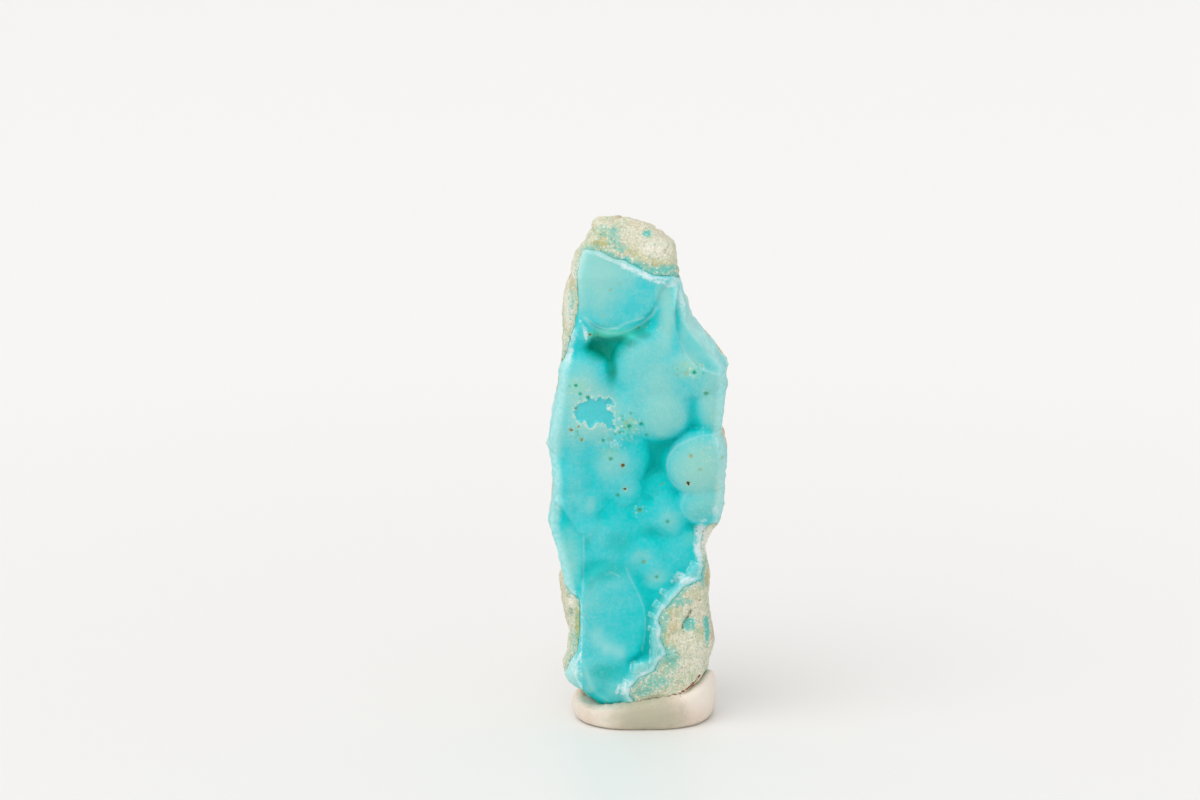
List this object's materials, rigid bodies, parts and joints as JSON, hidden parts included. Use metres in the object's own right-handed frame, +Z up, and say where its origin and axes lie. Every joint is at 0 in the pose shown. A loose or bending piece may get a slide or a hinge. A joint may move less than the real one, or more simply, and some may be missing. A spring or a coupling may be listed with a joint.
{
  "type": "hemimorphite mineral specimen",
  "caption": "Tall hand specimen of blue botryoidal hemimorphite crust on pale host rock, standing in a pat of mineral putty.",
  "frame": {"origin": "on the flat underside of the putty, under the middle of the specimen's bounding box", "axes": "+Z up along the specimen's length, +X to the specimen's right as displayed, -Y the way the blue crust faces"},
  "size_m": [0.0259, 0.019, 0.0734],
  "materials": {
    "hemimorphite": "satin, finely drusy, slightly translucent",
    "host_rock": "matte, granular",
    "putty": "matte"
  },
  "bodies": {
    "root": {"hemimorphite_crust": "hemimorphite", "host_rock": "host_rock", "putty_base": "putty"}
  },
  "joints": []
}
